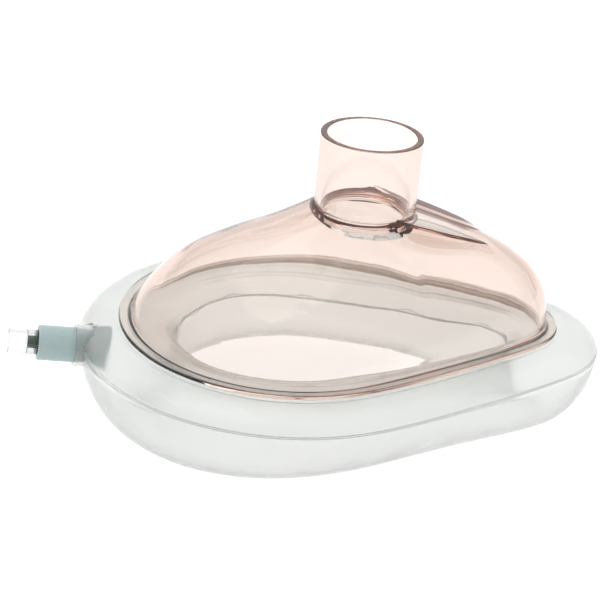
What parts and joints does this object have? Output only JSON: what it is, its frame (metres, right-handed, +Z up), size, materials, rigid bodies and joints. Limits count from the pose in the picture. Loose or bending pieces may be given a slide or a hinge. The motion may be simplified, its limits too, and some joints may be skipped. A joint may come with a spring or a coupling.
{
  "type": "resuscitation face mask",
  "caption": "Clear anaesthetic and resuscitation face mask: domed shell with a breathing-circuit socket, air-filled face cushion and inflation check valve at the chin.",
  "frame": {"origin": "on the circuit socket's axis, at the plane the cushion rests on", "axes": "+Z up along the circuit socket's axis, towards the breathing circuit; +X towards the nose end, -X towards the chin end and its valve; y = 0 is the plane of symmetry"},
  "size_m": [0.1535, 0.101, 0.076],
  "materials": {
    "tinted_clear_plastic": "injection-moulded, clear with a pale pink tint, glossy",
    "clear_soft_vinyl": "soft clear vinyl film, slightly cloudy, satin to glossy",
    "grey_soft_vinyl": "soft opaque grey vinyl tube, semi-matte",
    "clear_rigid_plastic": "clear moulded plastic, glossy",
    "green_plastic": "moulded opaque dark green",
    "seal_rubber": "soft black rubber",
    "spring_steel": "drawn stainless wire"
  },
  "bodies": {
    "mask": {"dome_shell": "tinted_clear_plastic", "connector_collar": "tinted_clear_plastic", "cushion": "clear_soft_vinyl", "valve_sleeve": "grey_soft_vinyl", "luer_body": "clear_rigid_plastic", "valve_spring": "spring_steel", "spring_retainer": "clear_rigid_plastic"},
    "stem": {"valve_stem": "green_plastic", "stem_seal": "seal_rubber"}
  },
  "joints": [
    {"name": "stem_slide", "type": "slide", "parent": "mask", "child": "stem", "axis": [0.9962, 0, -0.0872], "range_m": [0, 0.002], "stiffness_N_per_m": 300, "springref_m": -0.001, "deforming": ["valve_spring"]}
  ]
}
